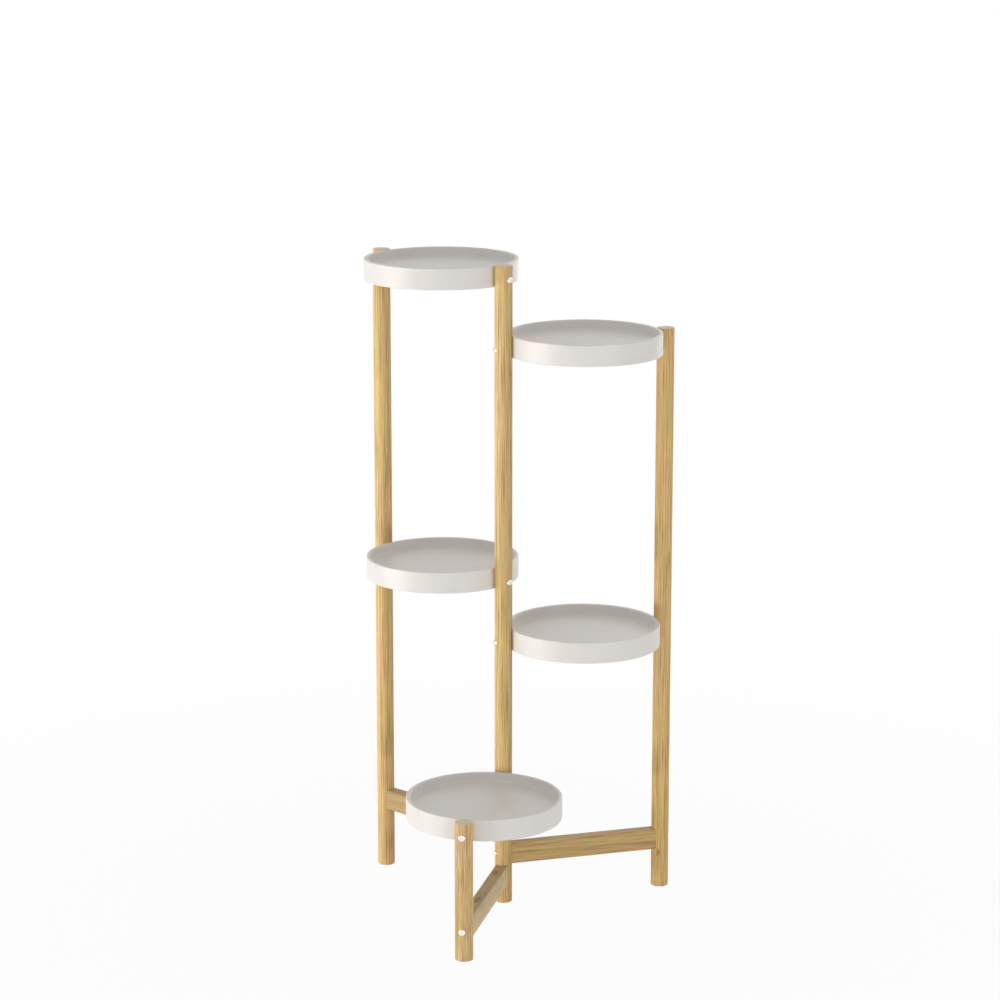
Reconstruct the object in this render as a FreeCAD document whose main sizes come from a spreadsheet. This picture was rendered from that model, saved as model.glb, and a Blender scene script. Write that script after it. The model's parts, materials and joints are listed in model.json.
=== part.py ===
import FreeCAD, Part
import math
import os
import Sketcher

# A tiered plant stand: four round posts, three base bars and five moulded trays, bolted together.
# Millimetres. +Z is up, and the origin is the centre of the centre post's foot.

SIZES = {
    # round posts
    "post_diameter": 34.0,
    "post_end_rounding": 1.5,
    "tall_post_height": 1250.0,
    "right_post_drop": 133.0,
    "front_post_height": 267.0,
    # the three arms, as degrees from +X
    "left_arm_angle": 150.0,
    "right_arm_angle": 30.0,
    "front_arm_angle": 270.0,
    # base bars
    "bar_width": 24.0,
    "bar_height": 40.0,
    "bar_edge_rounding": 1.5,
    "lowest_bar_underside": 37.0,
    "bar_level_gap": 1.0,
    "cope_clearance": 0.2,
    # trays
    "tray_diameter": 295.0,
    "tray_height": 41.0,
    "tray_wall": 2.5,
    "rim_width": 8.0,
    "rim_rounding": 2.0,
    "recess_depth": 17.5,
    "recess_fillet": 3.0,
    "tray_foot_rounding": 1.5,
    "rim_drop": 1.0,
    "middle_left_rim_height": 668.0,
    "middle_right_rim_drop": 120.0,
    # the hollows in a tray's wall that hug its two posts
    "saddle_depth": 3.0,
    "saddle_clearance": 0.3,
    # ribs and bosses under a tray
    "rib_count": 8,
    "rib_thickness": 2.0,
    "rib_depth": 8.0,
    "hub_diameter": 60.0,
    "boss_width": 26.0,
    "boss_wall": 4.0,
    "boss_inset": 1.0,
    # bolts with domed heads
    "bolt_diameter": 6.0,
    "bolt_hole_clearance": 0.5,
    "bolt_tip": 2.8,
    "bolt_end_room": 1.0,
    "head_diameter": 12.5,
    "head_height": 3.3,
    "head_rounding": 2.4,
    "spotface_clearance": 0.5,
    "socket_size": 4.0,
    "socket_depth": 2.0,
    # square nuts in the trays
    "nut_size": 10.0,
    "nut_thickness": 5.0,
    "nut_corner_rounding": 0.8,
    "nut_clearance": 0.3,
    "nut_headroom": 1.0,
    "thread_clearance": 0.1,
    # barrel nuts in the bars
    "barrel_diameter": 10.0,
    "barrel_length": 16.0,
    "barrel_clearance": 0.2,
    "barrel_reach": 30.0,
    "slot_width": 1.6,
    "slot_depth": 1.5,
    # screws from the trays' hollow undersides into the posts
    "screw_diameter": 4.5,
    "screw_length": 25.0,
    "screw_point": 5.0,
    "screw_end_room": 1.0,
    "screw_head_diameter": 9.0,
    "screw_head_height": 2.8,
    "screw_head_rounding": 1.6,
    "cross_length": 4.4,
    "cross_width": 1.0,
    "cross_depth": 1.4,
}

# Sizes that follow from the ones above.
POST_RADIUS = "(Sizes.post_diameter / 2)"
ARM = "(Sizes.tray_diameter + Sizes.post_diameter - 2 * Sizes.saddle_depth)"
TRAY_RADIUS = "(Sizes.tray_diameter / 2)"
RECESS_RADIUS = "(Sizes.tray_diameter / 2 - Sizes.rim_width)"
FLOOR_UNDERSIDE = "(Sizes.recess_depth + Sizes.tray_wall)"
BOLT_DROP = f"({FLOOR_UNDERSIDE} + Sizes.nut_size / 2 + Sizes.nut_headroom)"
SADDLE_RADIUS = f"({POST_RADIUS} + Sizes.saddle_clearance)"
BOSS_FACE = f"({SADDLE_RADIUS} + Sizes.boss_wall)"
NUT_SLOT = "(Sizes.nut_thickness + Sizes.nut_clearance)"
SPOTFACE_RADIUS = "((Sizes.head_diameter + Sizes.spotface_clearance) / 2)"
HEAD_SEAT = f"sqrt({POST_RADIUS}^2 - {SPOTFACE_RADIUS}^2)"
TRAY_BOLT_LENGTH = f"({HEAD_SEAT} + {BOSS_FACE} + {NUT_SLOT} + Sizes.bolt_tip)"
BARREL_DISTANCE = f"({POST_RADIUS} + Sizes.barrel_reach)"
BAR_BOLT_END = f"({BARREL_DISTANCE} + Sizes.barrel_diameter / 2 + Sizes.bolt_tip)"
BAR_BOLT_LENGTH = f"({HEAD_SEAT} + {BAR_BOLT_END})"
SCREW_END = f"(Sizes.screw_length - {BOSS_FACE})"

ARM_ANGLES = {
    "left": "Sizes.left_arm_angle",
    "right": "Sizes.right_arm_angle",
    "front": "Sizes.front_arm_angle",
}
# The right post and its trays keep their drop below the left ones, so neighbouring trays stay clear.
POST_HEIGHTS = {
    "centre": "Sizes.tall_post_height",
    "left": "Sizes.tall_post_height",
    "right": "(Sizes.tall_post_height - Sizes.right_post_drop)",
    "front": "Sizes.front_post_height",
}
MIDDLE_LEFT_RIM = "Sizes.middle_left_rim_height"
# node name, arm, height of the rim, and the post that its bolt goes through
TRAYS = [
    ("tray_top_left", "left", f"({POST_HEIGHTS['left']} - Sizes.rim_drop)", "centre"),
    ("tray_top_right", "right", f"({POST_HEIGHTS['right']} - Sizes.rim_drop)", "centre"),
    ("tray_middle_left", "left", MIDDLE_LEFT_RIM, "centre"),
    ("tray_middle_right", "right", f"({MIDDLE_LEFT_RIM} - Sizes.middle_right_rim_drop)", "centre"),
    ("tray_front", "front", f"({POST_HEIGHTS['front']} - Sizes.rim_drop)", "front"),
]
# The bars lie one above the other at the centre post, so that their bolts miss each other.
BAR_LEVELS = {"front": 0, "right": 1, "left": 2}


def make_sheet(doc):
    sheet = doc.addObject("Spreadsheet::Sheet", "Sizes")
    for row, (name, value) in enumerate(SIZES.items(), 1):
        sheet.set(f"A{row}", name)
        sheet.set(f"B{row}", str(value))
        sheet.setAlias(f"B{row}", name)
    doc.recompute()


# ---- sketches ----

def add_body(doc, name):
    body = doc.addObject("PartDesign::Body", name)
    body.Label = name
    return body


def add_sketch(body, name, role, lift="0", turn="0"):
    # lift moves the plane along its normal, and turn swings it about the vertical first
    sketch = body.newObject("Sketcher::SketchObject", name)
    plane = [item for item in body.Origin.OriginFeatures if item.Role == role][0]
    sketch.AttachmentSupport = [(plane, "")]
    sketch.MapMode = "FlatFace"
    flat = role == "XY_Plane"
    upright = FreeCAD.Vector(0, 0, 1) if flat else FreeCAD.Vector(0, 1, 0)
    sketch.AttachmentOffset = FreeCAD.Placement(FreeCAD.Vector(), FreeCAD.Rotation(upright, 1))
    sketch.setExpression(".AttachmentOffset.Rotation.Angle", turn)
    if flat:
        sketch.setExpression(".AttachmentOffset.Base.z", lift)
    else:
        sketch.setExpression(".AttachmentOffset.Base.x", f"{lift} * sin({turn})")
        sketch.setExpression(".AttachmentOffset.Base.z", f"{lift} * cos({turn})")
    return sketch


def bind(sketch, name, constraint, expression):
    index = sketch.addConstraint(constraint)
    sketch.renameConstraint(index, name)
    sketch.setExpression(f"Constraints.{name}", expression)


def pin_point(sketch, shape, end, x, y):
    if x == "0":
        sketch.addConstraint(Sketcher.Constraint("PointOnObject", shape, end, -2))
    else:
        bind(sketch, f"x{shape}", Sketcher.Constraint("DistanceX", -1, 1, shape, end, 1.0), x)
    if y == "0":
        sketch.addConstraint(Sketcher.Constraint("PointOnObject", shape, end, -1))
    else:
        bind(sketch, f"y{shape}", Sketcher.Constraint("DistanceY", -1, 1, shape, end, 1.0), y)


def add_circle(sketch, radius, x="0", y="0"):
    circle = sketch.addGeometry(Part.Circle(FreeCAD.Vector(), FreeCAD.Vector(0, 0, 1), 1), False)
    bind(sketch, f"radius{circle}", Sketcher.Constraint("Radius", circle, 1.0), radius)
    pin_point(sketch, circle, 3, x, y)


def add_polygon(sketch, points):
    step = 2 * math.pi / len(points)
    rough = [FreeCAD.Vector(math.cos(i * step), math.sin(i * step), 0) for i in range(len(points))]
    first = sketch.GeometryCount
    for i in range(len(points)):
        sketch.addGeometry(Part.LineSegment(rough[i], rough[(i + 1) % len(points)]), False)
    for i, (x, y) in enumerate(points):
        before = first + (i - 1) % len(points)
        sketch.addConstraint(Sketcher.Constraint("Coincident", before, 2, first + i, 1))
        pin_point(sketch, first + i, 1, x, y)


def add_rectangle(sketch, x_low, x_high, y_low, y_high):
    add_polygon(sketch, [(x_low, y_low), (x_high, y_low), (x_high, y_high), (x_low, y_high)])


# ---- features ----

def pad(body, sketch, length, reverse=False, symmetric=False):
    feature = body.newObject("PartDesign::Pad", "Pad")
    feature.Profile = sketch
    feature.setExpression("Length", length)
    feature.Reversed = reverse
    feature.Midplane = symmetric
    return feature


def pocket(body, sketch, depth=None, reverse=False, symmetric=False):
    # with no depth it goes right through; it cuts against the sketch's normal unless reversed
    feature = body.newObject("PartDesign::Pocket", "Pocket")
    feature.Profile = sketch
    if depth is None:
        feature.Type = "ThroughAll"
    else:
        feature.setExpression("Length", depth)
    feature.Reversed = reverse
    feature.Midplane = symmetric
    return feature


def ring_edges(body, axis, place):
    # round edges about the axis at this place along it, smallest first
    body.Document.recompute()
    found = []
    for number, edge in enumerate(body.Tip.Shape.Edges, 1):
        curve = edge.Curve
        if not isinstance(curve, Part.Circle):
            continue
        if abs(curve.Axis.dot(axis)) > 0.999 and abs(curve.Center.dot(axis) - place) < 1e-6:
            found.append((curve.Radius, f"Edge{number}"))
    return [name for radius, name in sorted(found)]


def long_edges(body, axis):
    body.Document.recompute()
    found = []
    for number, edge in enumerate(body.Tip.Shape.Edges, 1):
        if isinstance(edge.Curve, Part.Line) and abs(edge.Curve.Direction.dot(axis)) > 0.999:
            found.append(f"Edge{number}")
    return found


def round_edges(body, edges, radius):
    base = body.Tip
    feature = body.newObject("PartDesign::Fillet", "Fillet")
    feature.Base = (base, edges)
    feature.setExpression("Radius", radius)


def place(body, along, angle, height="0"):
    # along is measured from the centre post's axis in the direction of the angle
    body.Placement = FreeCAD.Placement(FreeCAD.Vector(), FreeCAD.Rotation(FreeCAD.Vector(0, 0, 1), 1))
    body.setExpression(".Placement.Base.x", f"{along} * cos({angle})")
    body.setExpression(".Placement.Base.y", f"{along} * sin({angle})")
    body.setExpression(".Placement.Base.z", height)
    body.setExpression(".Placement.Rotation.Angle", angle)


X_AXIS = FreeCAD.Vector(1, 0, 0)
Z_AXIS = FreeCAD.Vector(0, 0, 1)


# ---- where the fastenings go ----

def tray_direction(arm, bolted_post):
    # A tray's bolt and its screw both point this way, and the sign says on which side of the
    # centre post the tray then lies.
    if bolted_post == "centre":
        return ARM_ANGLES[arm], "1"
    return f"({ARM_ANGLES[arm]} + 180)", "-1"


def bar_middle(arm):
    step = f"{BAR_LEVELS[arm]} * (Sizes.bar_height + Sizes.bar_level_gap)"
    return f"(Sizes.lowest_bar_underside + {step} + Sizes.bar_height / 2)"


def post_drillings(post):
    # (height, direction, kind) of every hole in the post
    drillings = []
    for name, arm, rim, bolted_post in TRAYS:
        if post not in ("centre", arm):
            continue
        direction = tray_direction(arm, bolted_post)[0]
        kind = "bolt" if post == bolted_post else "screw"
        drillings.append((f"({rim} - {BOLT_DROP})", direction, kind))
    for arm in BAR_LEVELS:
        if post == "centre":
            drillings.append((bar_middle(arm), ARM_ANGLES[arm], "bolt"))
        elif post == arm:
            drillings.append((bar_middle(arm), f"({ARM_ANGLES[arm]} + 180)", "bolt"))
    return drillings


# ---- wooden pieces ----

def make_post(doc, post):
    body = add_body(doc, f"{post}_post")
    round_bar = add_sketch(body, "Section", "XY_Plane")
    add_circle(round_bar, POST_RADIUS)
    shaft = pad(body, round_bar, POST_HEIGHTS[post])
    ends = ring_edges(body, Z_AXIS, 0)
    ends += ring_edges(body, Z_AXIS, shaft.Length.Value)
    round_edges(body, ends, "Sizes.post_end_rounding")
    for height, direction, kind in post_drillings(post):
        if kind == "bolt":
            hole = add_sketch(body, "BoltHole", "YZ_Plane", turn=direction)
            add_circle(hole, "(Sizes.bolt_diameter + Sizes.bolt_hole_clearance) / 2", "0", height)
            pocket(body, hole, symmetric=True)
            flat = add_sketch(body, "Spotface", "YZ_Plane", f"-{HEAD_SEAT}", direction)
            add_circle(flat, SPOTFACE_RADIUS, "0", height)
            pocket(body, flat, POST_RADIUS)
        else:
            hole_end = f"({SCREW_END} + Sizes.screw_end_room)"
            hole = add_sketch(body, "ScrewHole", "YZ_Plane", hole_end, direction)
            add_circle(hole, "(Sizes.screw_diameter + Sizes.thread_clearance) / 2", "0", height)
            pocket(body, hole)
    if post != "centre":
        body.setExpression(".Placement.Base.x", f"{ARM} * cos({ARM_ANGLES[post]})")
        body.setExpression(".Placement.Base.y", f"{ARM} * sin({ARM_ANGLES[post]})")
    return body


def make_bar(doc, arm):
    # The bar's own frame is at its middle, with X along it, so that one end mirrors the other.
    body = add_body(doc, f"{arm}_bar")
    section = add_sketch(body, "Section", "YZ_Plane")
    half_width = "Sizes.bar_width / 2"
    half_height = "Sizes.bar_height / 2"
    add_rectangle(section, f"-{half_width}", half_width, f"-{half_height}", half_height)
    pad(body, section, ARM, symmetric=True)
    round_edges(body, long_edges(body, X_AXIS), "Sizes.bar_edge_rounding")
    cope = add_sketch(body, "Cope", "XY_Plane")
    add_circle(cope, f"{POST_RADIUS} + Sizes.cope_clearance", f"{ARM} / 2")
    coped_end = pocket(body, cope, symmetric=True)
    bore = add_sketch(body, "BoltBore", "YZ_Plane", f"({ARM} / 2)")
    add_circle(bore, "(Sizes.bolt_diameter + Sizes.bolt_hole_clearance) / 2")
    bolt_bore = pocket(body, bore, f"{BAR_BOLT_END} + Sizes.bolt_end_room")
    cross = add_sketch(body, "BarrelHole", "XY_Plane", "(Sizes.barrel_length / 2 + Sizes.barrel_clearance)")
    barrel_radius = "(Sizes.barrel_diameter + Sizes.barrel_clearance) / 2"
    add_circle(cross, barrel_radius, f"{ARM} / 2 - {BARREL_DISTANCE}")
    barrel_hole = pocket(body, cross)
    other_end = body.newObject("PartDesign::Mirrored", "OtherEnd")
    other_end.Originals = [coped_end, bolt_bore, barrel_hole]
    other_end.MirrorPlane = ([f for f in body.Origin.OriginFeatures if f.Role == "YZ_Plane"][0], [""])
    body.Tip = other_end
    place(body, f"{ARM} / 2", ARM_ANGLES[arm], bar_middle(arm))
    return body


# ---- trays ----

def make_tray(doc, name, arm, rim, bolted_post):
    # The tray's own frame is at the middle of its rim's top; -X is the side of its bolt.
    body = add_body(doc, name)
    wall = "Sizes.tray_wall"
    inner_wall_radius = f"({RECESS_RADIUS} + {wall})"
    skirt_radius = f"({TRAY_RADIUS} - {wall})"

    disc = add_sketch(body, "Disc", "XY_Plane")
    add_circle(disc, TRAY_RADIUS)
    pad(body, disc, "Sizes.tray_height", reverse=True)
    recess = add_sketch(body, "Recess", "XY_Plane")
    add_circle(recess, RECESS_RADIUS)
    pocket(body, recess, "Sizes.recess_depth")
    round_edges(body, ring_edges(body, Z_AXIS, 0), "Sizes.rim_rounding")
    round_edges(body, ring_edges(body, Z_AXIS, -SIZES["recess_depth"]), "Sizes.recess_fillet")
    round_edges(body, ring_edges(body, Z_AXIS, -SIZES["tray_height"]), "Sizes.tray_foot_rounding")

    # hollow below the floor, with a narrow gap between the recess's wall and the skirt
    hollow = add_sketch(body, "Hollow", "XY_Plane", "-Sizes.tray_height")
    add_circle(hollow, inner_wall_radius)
    pocket(body, hollow, f"Sizes.tray_height - {FLOOR_UNDERSIDE}", reverse=True)
    gap = add_sketch(body, "WallGap", "XY_Plane", "-Sizes.tray_height")
    add_circle(gap, skirt_radius)
    add_circle(gap, inner_wall_radius)
    pocket(body, gap, f"Sizes.tray_height - {wall}", reverse=True)
    underside = -SIZES["recess_depth"] - SIZES["tray_wall"]
    round_edges(body, ring_edges(body, Z_AXIS, underside), f"Sizes.recess_fillet + {wall}")

    # a hub ring and spokes stiffen the floor
    rib_lift = f"(-{FLOOR_UNDERSIDE} - Sizes.rib_depth)"
    rib_height = f"Sizes.rib_depth + {wall} / 2"
    hub = add_sketch(body, "Hub", "XY_Plane", rib_lift)
    add_circle(hub, "Sizes.hub_diameter / 2")
    add_circle(hub, "Sizes.hub_diameter / 2 - Sizes.rib_thickness")
    pad(body, hub, rib_height)
    spoke = add_sketch(body, "Spoke", "XY_Plane", rib_lift, "180 / Sizes.rib_count")
    half_rib = "Sizes.rib_thickness / 2"
    spoke_root = f"Sizes.hub_diameter / 2 - {half_rib}"
    add_rectangle(spoke, spoke_root, f"{skirt_radius} + {wall} / 2", f"-{half_rib}", half_rib)
    rib = pad(body, spoke, rib_height)
    spokes = body.newObject("PartDesign::PolarPattern", "Spokes")
    spokes.Originals = [rib]
    spokes.Axis = ([f for f in body.Origin.OriginFeatures if f.Role == "Z_Axis"][0], [""])
    spokes.Angle = 360
    spokes.setExpression("Occurrences", "Sizes.rib_count")
    body.Tip = spokes

    # bosses behind the saddles: both reach up between the two walls, and the one on the
    # bolt's side is deeper to hold its nut
    half_boss = "Sizes.boss_width / 2"
    boss_lift = "(-Sizes.tray_height + Sizes.boss_inset)"
    boss_height = f"-{boss_lift} - {FLOOR_UNDERSIDE} + {wall} / 2"
    wall_middle = f"({TRAY_RADIUS} - {wall} / 2)"
    nut_boss_end = f"({ARM} / 2 - {BOSS_FACE} - {NUT_SLOT} - Sizes.boss_wall)"
    screw_boss_end = f"({ARM} / 2 - {BOSS_FACE})"
    backing = add_sketch(body, "Backing", "XY_Plane", f"-{FLOOR_UNDERSIDE}")
    gap_side = f"({inner_wall_radius} - {wall} / 2)"
    add_rectangle(backing, gap_side, wall_middle, f"-{half_boss}", half_boss)
    add_rectangle(backing, f"-{wall_middle}", f"-{gap_side}", f"-{half_boss}", half_boss)
    pad(body, backing, f"{FLOOR_UNDERSIDE} - {wall} / 2")
    bosses = add_sketch(body, "Bosses", "XY_Plane", boss_lift)
    add_rectangle(bosses, screw_boss_end, wall_middle, f"-{half_boss}", half_boss)
    add_rectangle(bosses, f"-{wall_middle}", f"-{nut_boss_end}", f"-{half_boss}", half_boss)
    pad(body, bosses, boss_height)

    saddles = add_sketch(body, "Saddles", "XY_Plane")
    add_circle(saddles, SADDLE_RADIUS, f"{ARM} / 2")
    add_circle(saddles, SADDLE_RADIUS, f"-{ARM} / 2")
    pocket(body, saddles, symmetric=True)
    bolt_hole = add_sketch(body, "BoltHole", "YZ_Plane", f"-{nut_boss_end}")
    add_circle(bolt_hole, "(Sizes.bolt_diameter + Sizes.bolt_hole_clearance) / 2", "0", f"-{BOLT_DROP}")
    pocket(body, bolt_hole)
    screw_hole = add_sketch(body, "ScrewHole", "YZ_Plane", screw_boss_end)
    add_circle(screw_hole, "(Sizes.screw_diameter + Sizes.thread_clearance) / 2", "0", f"-{BOLT_DROP}")
    pocket(body, screw_hole, reverse=True)
    nut_slot = add_sketch(body, "NutSlot", "XY_Plane", "-Sizes.tray_height")
    half_slot = "(Sizes.nut_size + Sizes.nut_clearance) / 2"
    slot_start = f"({BOSS_FACE} - {ARM} / 2)"
    add_rectangle(nut_slot, slot_start, f"{slot_start} + {NUT_SLOT}", f"-{half_slot}", half_slot)
    pocket(body, nut_slot, f"Sizes.tray_height - {BOLT_DROP} + {half_slot}", reverse=True)

    direction, side = tray_direction(arm, bolted_post)
    place(body, f"({side} * {ARM} / 2)", direction, rim)
    return body


# ---- fasteners: each one's X axis is its own, with the head's underside at zero ----

def make_bolt(doc, name, length):
    body = add_body(doc, name)
    head = add_sketch(body, "Head", "YZ_Plane")
    add_circle(head, "Sizes.head_diameter / 2")
    pad(body, head, "Sizes.head_height", reverse=True)
    round_edges(body, ring_edges(body, X_AXIS, -SIZES["head_height"]), "Sizes.head_rounding")
    shank = add_sketch(body, "Shank", "YZ_Plane")
    add_circle(shank, "Sizes.bolt_diameter / 2")
    pad(body, shank, length)
    socket = add_sketch(body, "Socket", "YZ_Plane", "(Sizes.socket_depth - Sizes.head_height)")
    corner = "Sizes.socket_size / sqrt(3)"
    flat = "Sizes.socket_size / 2"
    right = [(f"{corner} / 2", f"-{flat}"), (corner, "0"), (f"{corner} / 2", flat)]
    left = [(f"-{corner} / 2", flat), (f"-{corner}", "0"), (f"-{corner} / 2", f"-{flat}")]
    add_polygon(socket, right + left)
    pocket(body, socket)
    return body


def make_square_nut(doc, name):
    body = add_body(doc, name)
    section = add_sketch(body, "Section", "YZ_Plane")
    half = "Sizes.nut_size / 2"
    add_rectangle(section, f"-{half}", half, f"-{half}", half)
    pad(body, section, "Sizes.nut_thickness", symmetric=True)
    round_edges(body, long_edges(body, X_AXIS), "Sizes.nut_corner_rounding")
    bore = add_sketch(body, "Bore", "YZ_Plane")
    add_circle(bore, "(Sizes.bolt_diameter + Sizes.thread_clearance) / 2")
    pocket(body, bore, symmetric=True)
    return body


def make_barrel_nut(doc, name):
    body = add_body(doc, name)
    section = add_sketch(body, "Section", "XY_Plane")
    add_circle(section, "Sizes.barrel_diameter / 2")
    pad(body, section, "Sizes.barrel_length", symmetric=True)
    bore = add_sketch(body, "Bore", "YZ_Plane")
    add_circle(bore, "(Sizes.bolt_diameter + Sizes.thread_clearance) / 2")
    pocket(body, bore, symmetric=True)
    slot = add_sketch(body, "Slot", "XY_Plane", "-Sizes.barrel_length / 2")
    half_slot = "Sizes.slot_width / 2"
    half_length = "Sizes.barrel_diameter"
    add_rectangle(slot, f"-{half_length}", half_length, f"-{half_slot}", half_slot)
    pocket(body, slot, "Sizes.slot_depth", reverse=True)
    return body


def make_screw(doc, name):
    body = add_body(doc, name)
    half = add_sketch(body, "HalfSection", "XZ_Plane")
    head_radius = "Sizes.screw_head_diameter / 2"
    shank_radius = "Sizes.screw_diameter / 2"
    add_polygon(half, [
        ("-Sizes.screw_head_height", "0"),
        ("Sizes.screw_length", "0"),
        ("Sizes.screw_length - Sizes.screw_point", shank_radius),
        ("0", shank_radius),
        ("0", head_radius),
        ("-Sizes.screw_head_height", head_radius),
    ])
    turned = body.newObject("PartDesign::Revolution", "Turned")
    turned.Profile = half
    turned.ReferenceAxis = (half, ["H_Axis"])
    turned.Angle = 360
    face = ring_edges(body, X_AXIS, -SIZES["screw_head_height"])
    round_edges(body, face, "Sizes.screw_head_rounding")
    half_width = "Sizes.cross_width / 2"
    half_length = "Sizes.cross_length / 2"
    for wide, tall in ((half_length, half_width), (half_width, half_length)):
        lift = "(Sizes.cross_depth - Sizes.screw_head_height)"
        cross = add_sketch(body, "Cross", "YZ_Plane", lift)
        add_rectangle(cross, f"-{wide}", wide, f"-{tall}", tall)
        pocket(body, cross)
    return body


def fasten_tray(doc, name, arm, rim, bolted_post):
    direction, side = tray_direction(arm, bolted_post)
    height = f"({rim} - {BOLT_DROP})"
    bolted_axis = f"({side} * {ARM} / 2 - {ARM} / 2)"
    screwed_axis = f"({side} * {ARM} / 2 + {ARM} / 2)"
    bolt = make_bolt(doc, f"{name}_bolt", TRAY_BOLT_LENGTH)
    place(bolt, f"({bolted_axis} - {HEAD_SEAT})", direction, height)
    nut = make_square_nut(doc, f"{name}_nut")
    place(nut, f"({bolted_axis} + {BOSS_FACE} + {NUT_SLOT} / 2)", direction, height)
    screw = make_screw(doc, f"{name}_screw")
    place(screw, f"({screwed_axis} - {BOSS_FACE})", direction, height)
    return [bolt, nut, screw]


def fasten_bar(doc, arm):
    pieces = []
    for end, axis, turn in (("centre", "0", "0"), ("outer", ARM, "180")):
        direction = f"({ARM_ANGLES[arm]} + {turn})"
        bolt = make_bolt(doc, f"{arm}_bar_{end}_bolt", BAR_BOLT_LENGTH)
        place(bolt, f"(-{axis} - {HEAD_SEAT})", direction, bar_middle(arm))
        barrel = make_barrel_nut(doc, f"{arm}_bar_{end}_barrel_nut")
        place(barrel, f"({BARREL_DISTANCE} - {axis})", direction, bar_middle(arm))
        pieces += [bolt, barrel]
    return pieces


# ---- checks and files ----

def check_features(doc):
    for item in doc.Objects:
        if "Invalid" in item.State or "Error" in item.State:
            raise RuntimeError(f"{item.Label} failed: {item.State}")
        base = getattr(item, "BaseFeature", None)
        if base is None or item.TypeId not in ("PartDesign::Pad", "PartDesign::Pocket"):
            continue
        change = item.Shape.Volume - base.Shape.Volume
        if abs(change) < 1e-3 or (change > 0) != (item.TypeId == "PartDesign::Pad"):
            raise RuntimeError(f"{item.Label} of {item.getParentGeoFeatureGroup().Label} changes nothing")


def write_parts(bodies):
    os.makedirs("parts", exist_ok=True)
    for body in bodies:
        shape = body.Shape
        if shape.isNull() or not shape.isValid() or len(shape.Solids) != 1:
            raise RuntimeError(f"{body.Label} isn't one valid solid")
        shape.exportStep(os.path.join("parts", f"{body.Label}.step"))


def build():
    doc = FreeCAD.newDocument("plant_stand")
    make_sheet(doc)
    bodies = [make_post(doc, post) for post in POST_HEIGHTS]
    for arm in BAR_LEVELS:
        bodies.append(make_bar(doc, arm))
        bodies += fasten_bar(doc, arm)
    for tray in TRAYS:
        bodies.append(make_tray(doc, *tray))
        bodies += fasten_tray(doc, *tray)
    doc.recompute()
    check_features(doc)
    write_parts(bodies)
    print(len(bodies), "pieces written")


build()
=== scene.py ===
import json
import math
import bpy
import bmesh
from mathutils import Matrix, Vector


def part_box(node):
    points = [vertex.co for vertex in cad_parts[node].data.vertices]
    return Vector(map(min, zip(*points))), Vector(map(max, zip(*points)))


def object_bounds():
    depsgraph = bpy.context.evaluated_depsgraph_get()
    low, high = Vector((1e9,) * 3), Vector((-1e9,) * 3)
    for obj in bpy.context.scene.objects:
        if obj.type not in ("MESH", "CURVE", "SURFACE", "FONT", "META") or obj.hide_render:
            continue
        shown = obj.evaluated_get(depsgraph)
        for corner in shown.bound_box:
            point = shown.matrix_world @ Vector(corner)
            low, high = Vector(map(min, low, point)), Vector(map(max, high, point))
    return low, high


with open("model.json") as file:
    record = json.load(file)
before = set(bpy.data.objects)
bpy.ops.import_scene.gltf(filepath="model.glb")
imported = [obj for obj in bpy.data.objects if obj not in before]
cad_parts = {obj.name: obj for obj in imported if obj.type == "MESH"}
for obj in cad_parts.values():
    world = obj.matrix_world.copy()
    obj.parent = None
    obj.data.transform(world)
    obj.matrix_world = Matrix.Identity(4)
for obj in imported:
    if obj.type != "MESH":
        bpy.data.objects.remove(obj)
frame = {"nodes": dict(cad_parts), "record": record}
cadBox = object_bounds()
nodes = frame["nodes"]
scene = bpy.context.scene
scene.view_settings.view_transform = "Standard"
print("frame loaded:", len(nodes), "pieces")


# camera, from the photograph's own perspective

camera = {
    "place": (1.296, -5.612, 2.102),
    "turn": 13.069,    # degrees to the left of straight ahead
    "tilt": 12.727,    # degrees below the horizon
    "lens": 112.1,
    "reach": 60.0,
}

camData = bpy.data.cameras.new("camera")
camObject = bpy.data.objects.new("camera", camData)
scene.collection.objects.link(camObject)
camData.lens = camera["lens"]
camData.clip_end = camera["reach"]
camObject.location = camera["place"]
camObject.rotation_euler = (math.radians(90 - camera["tilt"]), 0, math.radians(camera["turn"]))
scene.camera = camObject
print("camera placed")


def hexColour(text):
    # sRGB hex, as a colour picker shows it, to the linear values that shaders use
    channels = []
    for start in (1, 3, 5):
        value = int(text[start:start + 2], 16) / 255
        channels.append(value / 12.92 if value <= 0.04045 else ((value + 0.055) / 1.055) ** 2.4)
    return (*channels, 1.0)


def newTree(block):
    block.use_nodes = True
    block.node_tree.nodes.clear()
    return block.node_tree


def addNode(tree, kind, inputs=None, stops=None, **settings):
    # inputs: socket name or number, and its value or the node or output linked to it
    # stops: places and hex colours along a colour ramp, with the two outermost ones first
    node = tree.nodes.new("ShaderNode" + kind)
    for name, value in settings.items():
        setattr(node, name, value)
    for name, value in (inputs or {}).items():
        if isinstance(value, bpy.types.Node):
            value = value.outputs[0]
        if isinstance(value, bpy.types.NodeSocket):
            tree.links.new(value, node.inputs[name])
        else:
            node.inputs[name].default_value = value
    for index, (place, colour) in enumerate(stops or ()):
        elements = node.color_ramp.elements
        element = elements[index] if index < 2 else elements.new(place)
        element.position = place
        element.color = hexColour(colour)
    return node


def mixColours(tree, share, first, second):
    # 6 and 7 are the two colour inputs of a Mix node, and 2 is its colour output
    return addNode(tree, "Mix", {"Factor": share, 6: first, 7: second}, data_type="RGBA").outputs[2]


# stage: pale floor and soft studio light

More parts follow.
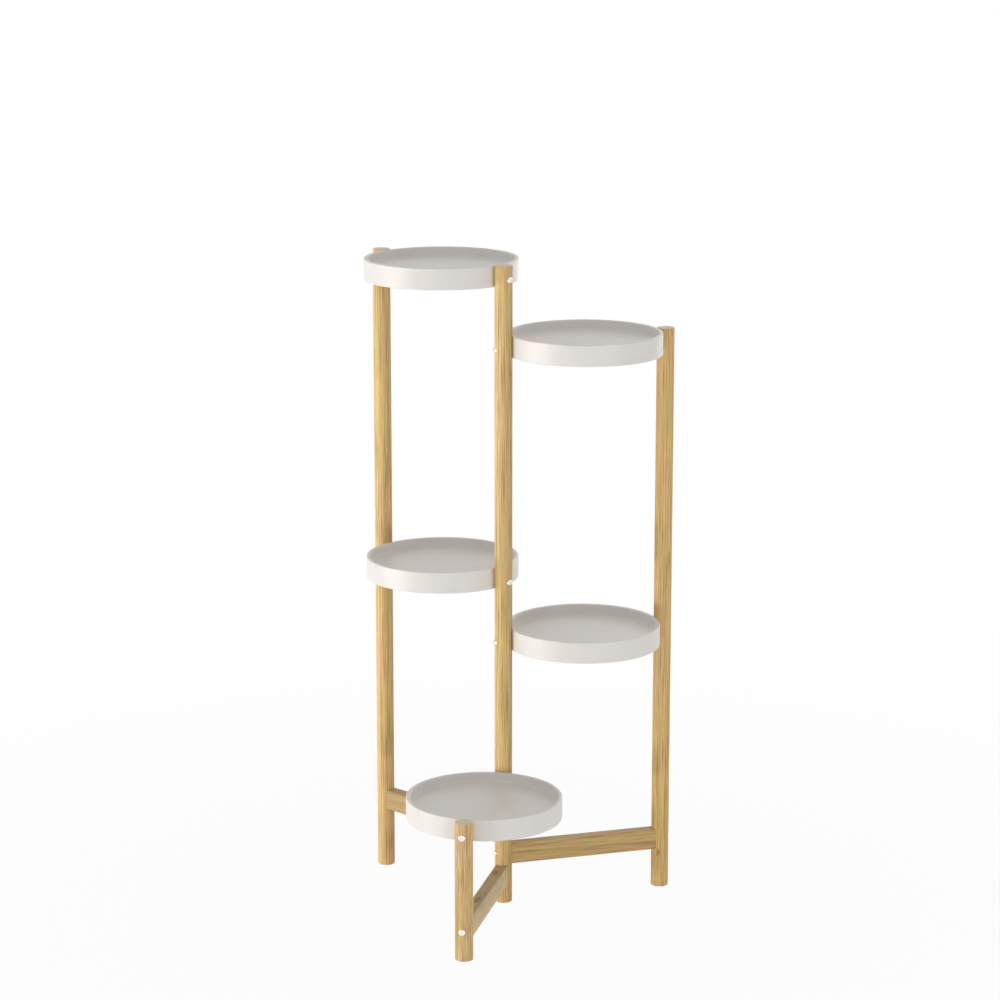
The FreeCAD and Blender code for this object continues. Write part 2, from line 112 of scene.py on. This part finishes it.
stage = {
    "floorSize": 24.0,
    "floorColour": "#f3f2f0",
    "plainNear": 0.95,       # share of plain backdrop white in the floor beside the stand
    "fadeFrom": 0.5,         # metres from the stand where that share starts to rise to all white
    "fadeTo": 2.4,
    "roomLight": 0.54,
}

# The key and fill lamps are strips that stand on the floor, so they light the trays' walls and leave
# their floors darker. The back lamp is a large soft panel. Places and sizes, width by height, are in
# metres and power is in watts.
lamps = {
    "keyLamp": {"place": (-3.7, -2.0, 0.12), "power": 92.0, "size": (3.0, 0.22), "colour": "#fffcf8"},
    "fillLamp": {"place": (3.1, -2.8, 0.12), "power": 36.0, "size": (3.0, 0.22), "colour": "#ffffff"},
    "backLamp": {"place": (0.9, 4.4, 1.2), "power": 30.0, "size": (3.0, 2.4), "colour": "#ffffff"},
}


def seenAsBackdrop(tree):
    # 1 for what the camera sees straight on, in a reflection or through something clear
    rays = addNode(tree, "LightPath")
    seen = addNode(tree, "Math", {0: rays.outputs["Is Camera Ray"], 1: rays.outputs["Is Glossy Ray"]},
                   operation="MAXIMUM")
    return addNode(tree, "Math", {0: seen, 1: rays.outputs["Is Transmission Ray"]}, operation="MAXIMUM")


def makeFloor():
    bm = bmesh.new()
    bmesh.ops.create_grid(bm, x_segments=1, y_segments=1, size=stage["floorSize"] / 2)
    mesh = bpy.data.meshes.new("floor")
    bm.to_mesh(mesh)
    bm.free()
    floor = bpy.data.objects.new("floor", mesh)
    scene.collection.objects.link(floor)
    material = bpy.data.materials.new("palePaper")
    tree = newTree(material)
    matte = addNode(tree, "BsdfDiffuse", {"Color": hexColour(stage["floorColour"])})
    plain = addNode(tree, "Emission", {"Color": (1, 1, 1, 1), "Strength": 1.0})
    place = addNode(tree, "TexCoord").outputs["Object"]
    away = addNode(tree, "VectorMath", {0: place}, operation="LENGTH").outputs["Value"]
    share = addNode(tree, "MapRange", {0: away, "From Min": stage["fadeFrom"], "From Max": stage["fadeTo"],
                                       "To Min": stage["plainNear"], "To Max": 1.0},
                    interpolation_type="SMOOTHSTEP")
    seen = addNode(tree, "Math", {0: seenAsBackdrop(tree), 1: share}, operation="MULTIPLY")
    mix = addNode(tree, "MixShader", {0: seen, 1: matte, 2: plain})
    addNode(tree, "OutputMaterial", {"Surface": mix})
    mesh.materials.append(material)


def makeWorld():
    world = bpy.data.worlds.new("studio")
    scene.world = world
    tree = newTree(world)
    room = addNode(tree, "Background", {"Color": (1, 1, 1, 1), "Strength": stage["roomLight"]})
    white = addNode(tree, "Background", {"Color": (1, 1, 1, 1), "Strength": 1.0})
    mix = addNode(tree, "MixShader", {0: seenAsBackdrop(tree), 1: room, 2: white})
    addNode(tree, "OutputWorld", {"Surface": mix})


def makeLamp(name, settings):
    data = bpy.data.lights.new(name, "AREA")
    data.shape = "RECTANGLE"
    data.size, data.size_y = settings["size"]
    data.energy = settings["power"]
    data.color = hexColour(settings["colour"])[:3]
    lamp = bpy.data.objects.new(name, data)
    scene.collection.objects.link(lamp)
    lamp.location = settings["place"]
    low, high = cadBox
    aim = (low + high) / 2 - Vector(settings["place"])
    lamp.rotation_euler = aim.to_track_quat("-Z", "Y").to_euler()


makeFloor()
makeWorld()
for name, settings in lamps.items():
    makeLamp(name, settings)
print("stage and lamps made")


# pine, turned or sawn, under clear matt lacquer: warm, with soft growth rings and dark fibres

pineLook = {
    # widths and lengths in metres, across and along the grain; real rings are 1.5 to 3 mm and real
    # fibres far finer than a pixel, and both are drawn wider, or they blur away at this distance
    "ringWidth": 0.0040,
    "swayWidth": 0.11,       # how slowly the trunk bends
    "swayLength": 0.40,
    "swayAmount": 0.016,
    "streakWidth": 0.0017,   # resin canals and dark fibres
    "streakLength": 0.11,
    "fibreWidth": 0.0011,
    "fibreLength": 0.03,
    "patchWidth": 0.016,     # greener sapwood, redder heartwood
    "patchLength": 0.16,
    "knotRingWidth": 0.0016,
    "toneReach": 0.017,      # half a post, over which the tone and its painted light and shade go from pith side to bark side
    "reliefHeight": 0.0003,
    "reliefStrength": 0.3,
    "roughness": 0.55,
    "specular": 0.3,
    # growth rings: how often their spacing changes in one ring, and the faintest year's darkness
    "spacingChanges": 0.7,
    "faintestYear": 0.3,
    # knots: how far they push the rings aside, by their own radius and length
    "pushStretch": 1.4,
    "pushReach": 1.5,
    "pushAmount": 2.2,
    "knotCore": 0.5,         # share of a knot's radius that has its full colour
    # values of the noise where each effect starts and is full
    "streakRange": (0.53, 0.66),
    "gleamRange": (0.46, 0.32),
    "gleamShare": 0.4,
    "fleckRange": (0.3, 0.7),
    "fleckLift": 0.7,        # how far flecks brighten the wood, for how far they darken it
    # how far up a face looks where a post's cut end, with its painted highlight, starts and is full
    "endRange": (0.5, 0.95),
    "endSheenShare": 0.75,
}

# one year's growth, from pale early wood to its dark edge, with the two ends first
ringStops = [(0.0, "#000000"), (1.0, "#000000"), (0.35, "#262626"), (0.70, "#808080"),
             (0.88, "#f0f0f0"), (0.94, "#e0e0e0")]

patchPlaces = (0.38, 0.62, 0.50)    # where green, pink and plain wood lie along the patches' noise

pineColours = {
    "earlyGreen": "#e0c278",
    "earlyPlain": "#e6c180",
    "earlyPink": "#e6bb85",
    "lateGreen": "#bb944b",
    "latePlain": "#bd8e4f",
    "latePink": "#b78551",
    "streak": "#9c6d3b",
    "gleam": "#f0d59a",
    "faded": "#d3cab5",
    "knotPale": "#a5804c",
    "knotDark": "#7d5c35",
    # painted highlight: the pale colour drawn on the posts' cut ends for their sheen
    "cutEndSheen": "#f2e5d3",
}

pinePieces = {
    # grain: degrees from +X, or None for upright. pith and knots are in the piece's own frame, in
    # metres from its middle, with Z along the grain. the tones scale the colour on the side of the pith
    # and on the bark side, streaks the dark fibres and flecks the fine ones. The tones also carry
    # painted light and shade: the centre and left posts have their pith to the right, so their left
    # sides are painted lighter and their right sides painted in shade. The front bar's top is painted
    # darker and its side darkens upwards, as painted shade from above. The two low bars are drawn
    # darker, partly for darker wood and partly as painted shade under the trays. faded is the share of
    # bleached wood, and green how far the wood leans to sapwood. A knot's length is for its width,
    # and its depth is the depth of its colour.
    "centre_post": {"grain": None, "pith": (0.052, 0.020), "seed": (1.3, 0.2, 0.5), "tonesAndShade": (0.84, 1.13),
                    "streaks": 0.7, "flecks": 0.12, "faded": 0.06, "green": 0.0, "knots": ()},
    "left_post": {"grain": None, "pith": (0.056, 0.018), "seed": (4.1, 2.2, 1.5), "tonesAndShade": (0.9, 1.12),
                  "streaks": 0.7, "flecks": 0.12, "faded": 0.06, "green": 0.0, "knots": ()},
    "right_post": {"grain": None, "pith": (0.040, -0.030), "seed": (7.7, 5.1, 3.1), "tonesAndShade": (0.98, 0.96),
                   "streaks": 0.65, "flecks": 0.12, "faded": 0.0, "green": 0.04,
                   "knots": ({"place": (0.0, -0.017, -0.487), "outward": (0.35, -0.94, 0.0),
                              "radius": 0.0052, "length": 1.8, "depth": 0.55},)},
    "front_post": {"grain": None, "pith": (0.045, 0.055), "seed": (2.9, 8.4, 6.2), "tonesAndShade": (1.0, 0.98),
                   "streaks": 0.65, "flecks": 0.30, "faded": 0.1, "green": 0.0, "knots": ()},
    "left_bar": {"grain": 150.0, "pith": (0.012, 0.060), "seed": (3.3, 1.2, 4.0), "tonesAndShade": (0.76, 0.76),
                 "streaks": 0.6, "flecks": 0.12, "faded": 0.1, "green": 0.0, "knots": ()},
    "right_bar": {"grain": 30.0, "pith": (0.014, 0.058), "seed": (5.9, 3.3, 0.7), "tonesAndShade": (0.82, 0.82),
                  "streaks": 0.6, "flecks": 0.12, "faded": 0.04, "green": 0.0, "knots": ()},
    "front_bar": {"grain": 270.0, "pith": (0.060, 0.010), "seed": (8.8, 6.1, 2.4), "tonesAndShade": (1.04, 0.82),
                  "streaks": 0.4, "flecks": 0.16, "faded": 0.36, "green": 0.0,
                  "knots": ({"place": (-0.020, -0.0016, -0.1017), "outward": (-1.0, 0.0, 0.0),
                             "radius": 0.0070, "length": 2.6, "depth": 0.6},
                            {"place": (-0.020, -0.0002, 0.0523), "outward": (-1.0, 0.0, 0.0),
                             "radius": 0.0085, "length": 2.8, "depth": 0.6})},
}


def grainTurn(grain):
    # the rotation that lays the frame's Z along the grain
    if grain is None:
        return (0.0, 0.0, 0.0)
    lain = Matrix.Rotation(math.radians(grain), 3, "Z") @ Matrix.Rotation(math.radians(90), 3, "Y")
    return lain.to_euler()


def grainNoise(tree, place, kind):
    width = pineLook[kind + "Width"]
    scale = (1 / width, 1 / width, 1 / pineLook[kind + "Length"])
    drawn = addNode(tree, "Mapping", {"Vector": place, "Scale": scale})
    return addNode(tree, "TexNoise", {"Vector": drawn, "Scale": 1.0, "Detail": 2.0})


def fromKnot(tree, local, knot, stretch):
    # distance from the knot's own axis, shortened along the grain by the stretch
    outward = Vector(knot["outward"]).normalized()
    gap = addNode(tree, "VectorMath", {0: local, 1: knot["place"]}, operation="SUBTRACT")
    gap = addNode(tree, "VectorMath", {0: gap, 1: (1, 1, 1 / stretch)}, operation="MULTIPLY")
    across = addNode(tree, "VectorMath", {0: gap, 1: outward}, operation="CROSS_PRODUCT")
    return addNode(tree, "VectorMath", {0: across}, operation="LENGTH").outputs["Value"]


def pithDistance(tree, local, shifted, wood):
    # the pith sways along the grain, and knots push the rings aside
    look = pineLook
    sway = grainNoise(tree, shifted, "sway").outputs["Color"]
    half = look["swayAmount"] / 2
    sway = addNode(tree, "VectorMath", {0: sway, 1: (look["swayAmount"], look["swayAmount"], 0),
                                        2: (-half, -half, 0)}, operation="MULTIPLY_ADD")
    swayed = addNode(tree, "VectorMath", {0: local, 1: sway}, operation="ADD")
    swayed = addNode(tree, "VectorMath", {0: swayed, 1: (*wood["pith"], 0)}, operation="SUBTRACT")
    swayed = addNode(tree, "VectorMath", {0: swayed, 1: (1, 1, 0)}, operation="MULTIPLY")
    radius = addNode(tree, "VectorMath", {0: swayed}, operation="LENGTH").outputs["Value"]
    for knot in wood["knots"]:
        away = fromKnot(tree, local, knot, look["pushStretch"] * knot["length"])
        reach = knot["radius"] * look["pushReach"]
        push = knot["radius"] * look["pushAmount"]
        ratio = addNode(tree, "Math", {0: away, 1: reach}, operation="DIVIDE")
        ratio = addNode(tree, "Math", {0: ratio, 1: ratio}, operation="MULTIPLY")
        swell = addNode(tree, "Math", {0: math.exp(-1), 1: ratio}, operation="POWER")
        radius = addNode(tree, "Math", {0: swell, 1: push, 2: radius}, operation="MULTIPLY_ADD")
    return radius


def lateWood(tree, radius):
    # some years grow fast and some slowly, and some end darker than others
    look = pineLook
    rate = look["spacingChanges"] / look["ringWidth"]
    uneven = addNode(tree, "Math", {0: radius, 1: rate}, operation="MULTIPLY")
    uneven = addNode(tree, "TexNoise", {"W": uneven, "Scale": 1.0, "Detail": 1.0}, noise_dimensions="1D")
    count = addNode(tree, "Math", {0: radius, 1: 1 / look["ringWidth"], 2: uneven}, operation="MULTIPLY_ADD")
    phase = addNode(tree, "Math", {0: count}, operation="FRACT")
    late = addNode(tree, "ValToRGB", {"Fac": phase}, stops=ringStops)
    year = addNode(tree, "Math", {0: count}, operation="FLOOR")
    year = addNode(tree, "TexWhiteNoise", {"W": year}, noise_dimensions="1D")
    year = addNode(tree, "MapRange", {0: year, "To Min": look["faintestYear"], "To Max": 1.0})
    return addNode(tree, "Math", {0: late.outputs["Color"], 1: year}, operation="MULTIPLY")


def woodRamp(tree, patch, season):
    # the green, pink and plain wood of one season, early or late
    colours = [pineColours[season + kind] for kind in ("Green", "Pink", "Plain")]
    return addNode(tree, "ValToRGB", {"Fac": patch}, stops=zip(patchPlaces, colours)).outputs["Color"]


def noiseShare(tree, noise, places, share):
    # 0 at the first of the two noise values, rising to the share at the second
    return addNode(tree, "MapRange", {0: noise, "From Min": places[0], "From Max": places[1],
                                      "To Max": share})


def pineColour(tree, local, shifted, wood):
    look = pineLook
    radius = pithDistance(tree, local, shifted, wood)
    late = lateWood(tree, radius)
    patch = grainNoise(tree, shifted, "patch")
    patch = addNode(tree, "Math", {0: patch, 1: wood["green"]}, operation="SUBTRACT")
    early = woodRamp(tree, patch, "early")
    dark = woodRamp(tree, patch, "late")
    colour = mixColours(tree, late, early, dark)
    # long dark fibres, paler ones between them, and a fine overall grain
    streak = grainNoise(tree, shifted, "streak")
    darker = noiseShare(tree, streak, look["streakRange"], wood["streaks"])
    colour = mixColours(tree, darker, colour, hexColour(pineColours["streak"]))
    paler = noiseShare(tree, streak, look["gleamRange"], look["gleamShare"])
    colour = mixColours(tree, paler, colour, hexColour(pineColours["gleam"]))
    colour = mixColours(tree, wood["faded"], colour, hexColour(pineColours["faded"]))
    fibre = grainNoise(tree, shifted, "fibre")
    flecks = wood["flecks"]
    start, full = look["fleckRange"]
    fine = addNode(tree, "MapRange", {0: fibre, "From Min": start, "From Max": full,
                                      "To Min": 1 - flecks, "To Max": 1 + look["fleckLift"] * flecks})
    # painted light and shade: this scale from pith side to bark side lights the left and shades the right of
    # the centre and left posts, darkens the front bar's top and darkens the two low bars
    pithSideScale, barkSideScale = wood["tonesAndShade"]
    middle = math.hypot(*wood["pith"])
    reach = look["toneReach"]
    toneAndShade = addNode(tree, "MapRange", {0: radius, "From Min": middle - reach, "From Max": middle + reach,
                                      "To Min": pithSideScale, "To Max": barkSideScale})
    toneAndShade = addNode(tree, "Math", {0: toneAndShade, 1: fine}, operation="MULTIPLY")
    return addNode(tree, "VectorMath", {0: colour, "Scale": toneAndShade}, operation="SCALE").outputs[0]


def addKnot(tree, local, knot, colour):
    away = fromKnot(tree, local, knot, knot["length"])
    rings = addNode(tree, "Math", {0: away, 1: 1 / pineLook["knotRingWidth"]}, operation="MULTIPLY")
    rings = addNode(tree, "Math", {0: rings}, operation="FRACT")
    inside = addNode(tree, "ValToRGB", {"Fac": rings}, stops=[(0.0, pineColours["knotPale"]),
                                                              (1.0, pineColours["knotDark"])])
    core = knot["radius"] * pineLook["knotCore"]
    share = addNode(tree, "MapRange", {0: away, "From Min": knot["radius"], "From Max": core,
                                       "To Max": knot["depth"]}, interpolation_type="SMOOTHSTEP")
    return mixColours(tree, share, colour, inside.outputs["Color"])


def lacqueredPine(piece):
    look = pineLook
    wood = pinePieces[piece]
    material = bpy.data.materials.new("lacqueredPine." + piece)
    tree = newTree(material)
    low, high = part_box(piece)
    coordinates = addNode(tree, "TexCoord")
    local = addNode(tree, "Mapping", {"Vector": coordinates.outputs["Object"], "Location": (low + high) / 2,
                                      "Rotation": grainTurn(wood["grain"])}, vector_type="TEXTURE")
    shifted = addNode(tree, "VectorMath", {0: local, 1: wood["seed"]}, operation="ADD")
    colour = pineColour(tree, local, shifted, wood)
    for knot in wood["knots"]:
        colour = addKnot(tree, local, knot, colour)
    if wood["grain"] is None:
        # painted highlight: the posts' cut ends are drawn paler than their sides, standing in for the sheen
        # on their tops
        facing = addNode(tree, "SeparateXYZ", {0: coordinates.outputs["Normal"]})
        ends = addNode(tree, "Math", {0: facing.outputs["Z"]}, operation="ABSOLUTE")
        ends = noiseShare(tree, ends, look["endRange"], look["endSheenShare"])
        colour = mixColours(tree, ends, colour, hexColour(pineColours["cutEndSheen"]))
    fibre = grainNoise(tree, shifted, "fibre")
    bump = addNode(tree, "Bump", {"Height": fibre, "Strength": look["reliefStrength"],
                                  "Distance": look["reliefHeight"]})
    shader = addNode(tree, "BsdfPrincipled", {"Base Color": colour, "Roughness": look["roughness"],
                                              "Normal": bump, "Specular IOR Level": look["specular"]})
    addNode(tree, "OutputMaterial", {"Surface": shader})
    return material


# ABS from a spark-eroded mould: an even satin sheen with a hardly visible mottle. The mould's grain is
# under 0.1 mm, and is drawn 1.1 mm wide, or it doesn't show at this distance; the mottle is 7 cm wide.

absLook = {
    "grainPerMetre": 900.0,
    "mottlePerMetre": 14.0,
    "mottleRange": (0.35, 0.65),
    "colours": ("#eae6e1", "#edeae6"),
    "roughness": (0.38, 0.46),
    "ior": 1.53,
    "reliefHeight": 0.0002,
    "reliefStrength": 0.1,
}


def mouldedAbs():
    look = absLook
    material = bpy.data.materials.new("mouldedAbs")
    tree = newTree(material)
    place = addNode(tree, "TexCoord").outputs["Object"]
    grain = addNode(tree, "TexNoise", {"Vector": place, "Scale": look["grainPerMetre"], "Detail": 2.0})
    mottle = addNode(tree, "TexNoise", {"Vector": place, "Scale": look["mottlePerMetre"], "Detail": 3.0})
    colour = addNode(tree, "ValToRGB", {"Fac": mottle}, stops=zip(look["mottleRange"], look["colours"]))
    start, full = look["mottleRange"]
    smooth, rough = look["roughness"]
    gloss = addNode(tree, "MapRange", {0: mottle, "From Min": start, "From Max": full,
                                       "To Min": smooth, "To Max": rough})
    bump = addNode(tree, "Bump", {"Height": grain, "Strength": look["reliefStrength"],
                                  "Distance": look["reliefHeight"]})
    shader = addNode(tree, "BsdfPrincipled", {"Base Color": colour.outputs["Color"], "Roughness": gloss,
                                              "IOR": look["ior"], "Normal": bump})
    addNode(tree, "OutputMaterial", {"Surface": shader})
    return material


# metals: bright nickel from a plating barrel is nearly white, with tumbling marks, and zinc on steel is
# cooler and cloudy. The marks are drawn 1.1 mm and the clouds 2.5 mm wide, coarser than real ones, to show.

metalLooks = {
    "brightNickel": {"marksPerMetre": 900.0, "detail": 3.0, "colourRange": (0.3, 0.7),
                     "colours": ("#eceae5", "#f6f4f0"), "glossRange": (0.3, 0.7),
                     "roughness": (0.28, 0.4)},
    "zincPlate": {"marksPerMetre": 400.0, "detail": 4.0, "colourRange": (0.3, 0.7),
                  "colours": ("#b9bec2", "#d3d5d3"), "glossRange": (0.0, 1.0),
                  "roughness": (0.22, 0.42)},
}


def platedMetal(name):
    look = metalLooks[name]
    material = bpy.data.materials.new(name)
    tree = newTree(material)
    place = addNode(tree, "TexCoord").outputs["Object"]
    marks = addNode(tree, "TexNoise", {"Vector": place, "Scale": look["marksPerMetre"],
                                       "Detail": look["detail"]})
    colour = addNode(tree, "ValToRGB", {"Fac": marks}, stops=zip(look["colourRange"], look["colours"]))
    start, full = look["glossRange"]
    smooth, rough = look["roughness"]
    gloss = addNode(tree, "MapRange", {0: marks, "From Min": start, "From Max": full,
                                       "To Min": smooth, "To Max": rough})
    shader = addNode(tree, "BsdfPrincipled", {"Base Color": colour.outputs["Color"], "Metallic": 1.0,
                                              "Roughness": gloss})
    addNode(tree, "OutputMaterial", {"Surface": shader})
    return material


def dress(node, material):
    for slot in nodes[node].material_slots:
        slot.material = material


finishes = {"tray_white": mouldedAbs(), "bolt_nickel": platedMetal("brightNickel"),
            "zinc_steel": platedMetal("zincPlate")}
for part in frame["record"]["subparts"]:
    node = part["node"]
    if node in pinePieces:
        dress(node, lacqueredPine(node))
    else:
        dress(node, finishes[part["material_slot"]])
print("finishes applied")
